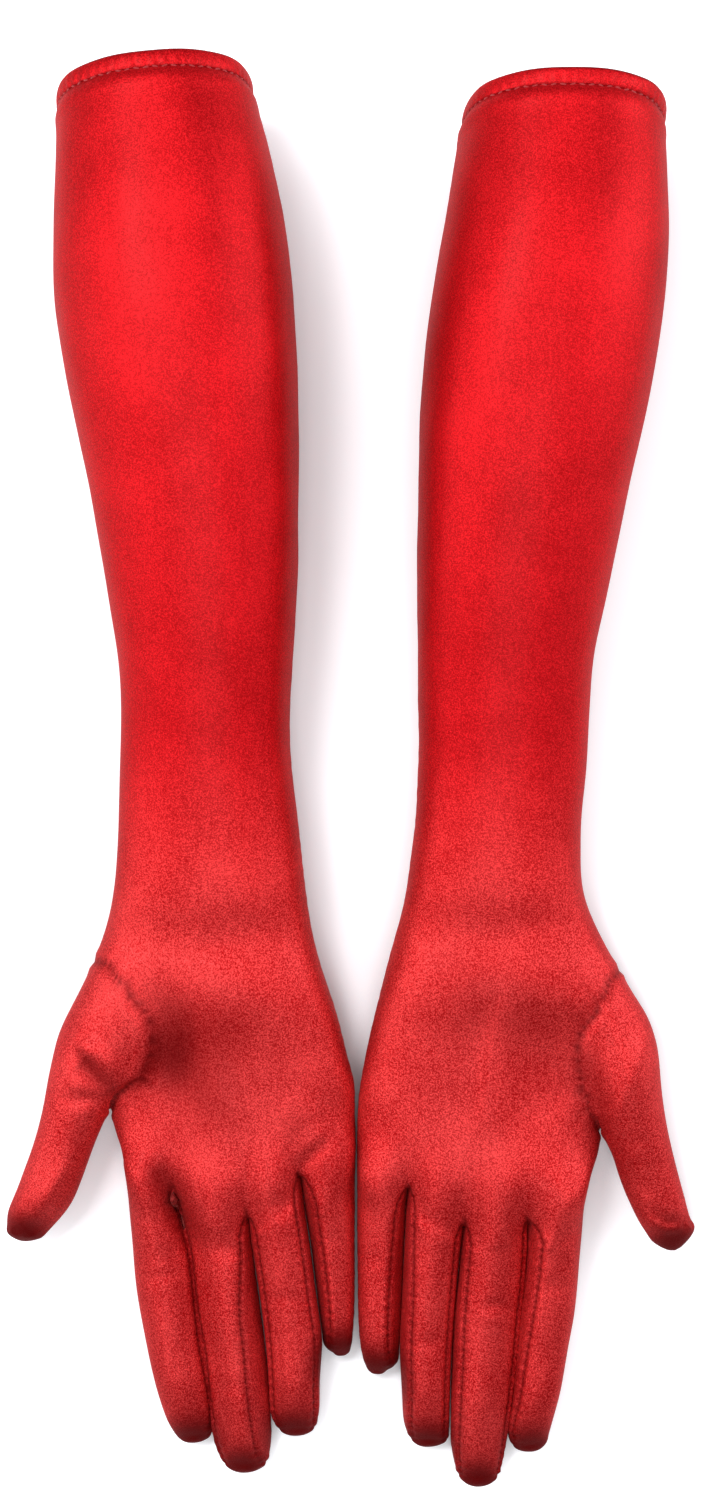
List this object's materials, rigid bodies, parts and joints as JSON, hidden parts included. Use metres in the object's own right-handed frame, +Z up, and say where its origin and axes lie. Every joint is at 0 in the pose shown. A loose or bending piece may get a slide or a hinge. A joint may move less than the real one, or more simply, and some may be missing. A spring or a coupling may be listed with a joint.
{
  "type": "pair of long satin gloves",
  "caption": "Pair of elbow-length satin gloves lying palm up: hollow sleeves, palms, thumbs and fingers with strips between them, hinged at wrists, thumbs and knuckles.",
  "frame": {"origin": "centre of the pair's bounding box, at its base, on the surface the gloves lie on", "axes": "+Z up, away from the palms; +Y from the fingertips to the cuffs; +X from the right-hand glove to the left-hand glove"},
  "size_m": [0.2146, 0.441, 0.0655],
  "materials": {
    "satin": "stretch satin with a soft sheen",
    "satin_fourchette": "stretch satin, on the strips between the fingers",
    "thread": "polyester sewing thread",
    "elastic": "flat knitted elastic"
  },
  "bodies": {
    "right_sleeve": {"right_sleeve": "satin", "right_hem": "satin", "right_cuff_elastic": "elastic", "right_hem_thread": "thread"},
    "right_hand": {"right_hand": "satin"},
    "right_thumb": {"right_thumb": "satin"},
    "right_index": {"right_index_front_and_back": "satin", "right_fourchette_index_middle_leg_on_index": "satin_fourchette"},
    "right_middle": {"right_middle_front": "satin", "right_middle_back": "satin", "right_fourchette_index_middle_leg_on_middle": "satin_fourchette", "right_fourchette_middle_ring_leg_on_middle": "satin_fourchette"},
    "right_ring": {"right_ring_front": "satin", "right_ring_back": "satin", "right_fourchette_middle_ring_leg_on_ring": "satin_fourchette", "right_fourchette_ring_little_leg_on_ring": "satin_fourchette"},
    "right_little": {"right_little_front": "satin", "right_little_back": "satin", "right_fourchette_ring_little_leg_on_little": "satin_fourchette"},
    "left_sleeve": {"left_sleeve": "satin", "left_hem": "satin", "left_cuff_elastic": "elastic", "left_hem_thread": "thread"},
    "left_hand": {"left_hand": "satin"},
    "left_thumb": {"left_thumb": "satin"},
    "left_index": {"left_index_front_and_back": "satin", "left_fourchette_index_middle_leg_on_index": "satin_fourchette"},
    "left_middle": {"left_middle_front": "satin", "left_middle_back": "satin", "left_fourchette_index_middle_leg_on_middle": "satin_fourchette", "left_fourchette_middle_ring_leg_on_middle": "satin_fourchette"},
    "left_ring": {"left_ring_front": "satin", "left_ring_back": "satin", "left_fourchette_middle_ring_leg_on_ring": "satin_fourchette", "left_fourchette_ring_little_leg_on_ring": "satin_fourchette"},
    "left_little": {"left_little_front": "satin", "left_little_back": "satin", "left_fourchette_ring_little_leg_on_little": "satin_fourchette"}
  },
  "joints": [
    {"name": "right_wrist", "type": "hinge", "parent": "right_sleeve", "child": "right_hand", "pos_m": [-0.0436, -0.01943, 0.0387], "axis": [-1, 0, 0], "range_deg": [0, 70]},
    {"name": "right_index_knuckle", "type": "hinge", "parent": "right_hand", "child": "right_index", "pos_m": [-0.06273, -0.12036, 0.0275], "axis": [-0.9891, -0.1474, 0], "range_deg": [0, 85]},
    {"name": "right_middle_knuckle", "type": "hinge", "parent": "right_hand", "child": "right_middle", "pos_m": [-0.04274, -0.12936, 0.027], "axis": [-0.9909, -0.1349, 0], "range_deg": [0, 85]},
    {"name": "right_ring_knuckle", "type": "hinge", "parent": "right_hand", "child": "right_ring", "pos_m": [-0.02398, -0.12766, 0.026], "axis": [-0.9964, -0.0845, 0], "range_deg": [0, 85]},
    {"name": "right_little_knuckle", "type": "hinge", "parent": "right_hand", "child": "right_little", "pos_m": [-0.00736, -0.11645, 0.0245], "axis": [-0.9992, -0.0401, 0], "range_deg": [0, 85]},
    {"name": "right_thumb_swing", "type": "hinge", "parent": "right_hand", "child": "right_thumb", "pos_m": [-0.06105, -0.06935, 0.0319], "axis": [0, 1, 0], "range_deg": [0, 40]},
    {"name": "left_wrist", "type": "hinge", "parent": "left_sleeve", "child": "left_hand", "pos_m": [0.04514, -0.01943, 0.0387], "axis": [-1, 0, 0], "range_deg": [0, 70]},
    {"name": "left_index_knuckle", "type": "hinge", "parent": "left_hand", "child": "left_index", "pos_m": [0.0647, -0.12898, 0.0275], "axis": [-0.9946, 0.1037, 0], "range_deg": [0, 85]},
    {"name": "left_middle_knuckle", "type": "hinge", "parent": "left_hand", "child": "left_middle", "pos_m": [0.04501, -0.13552, 0.027], "axis": [-0.9982, 0.0595, 0], "range_deg": [0, 85]},
    {"name": "left_ring_knuckle", "type": "hinge", "parent": "left_hand", "child": "left_ring", "pos_m": [0.02656, -0.13043, 0.026], "axis": [-0.9994, 0.0344, 0], "range_deg": [0, 85]},
    {"name": "left_little_knuckle", "type": "hinge", "parent": "left_hand", "child": "left_little", "pos_m": [0.00962, -0.122, 0.0245], "axis": [-0.9999, 0.0138, 0], "range_deg": [0, 85]},
    {"name": "left_thumb_swing", "type": "hinge", "parent": "left_hand", "child": "left_thumb", "pos_m": [0.06942, -0.07364, 0.0319], "axis": [0, -1, 0], "range_deg": [0, 40]},
    {"name": "gloves_apart", "type": "slide", "parent": "right_sleeve", "child": "left_sleeve", "axis": [1, 0, 0], "range_m": [0, 0.15]}
  ]
}
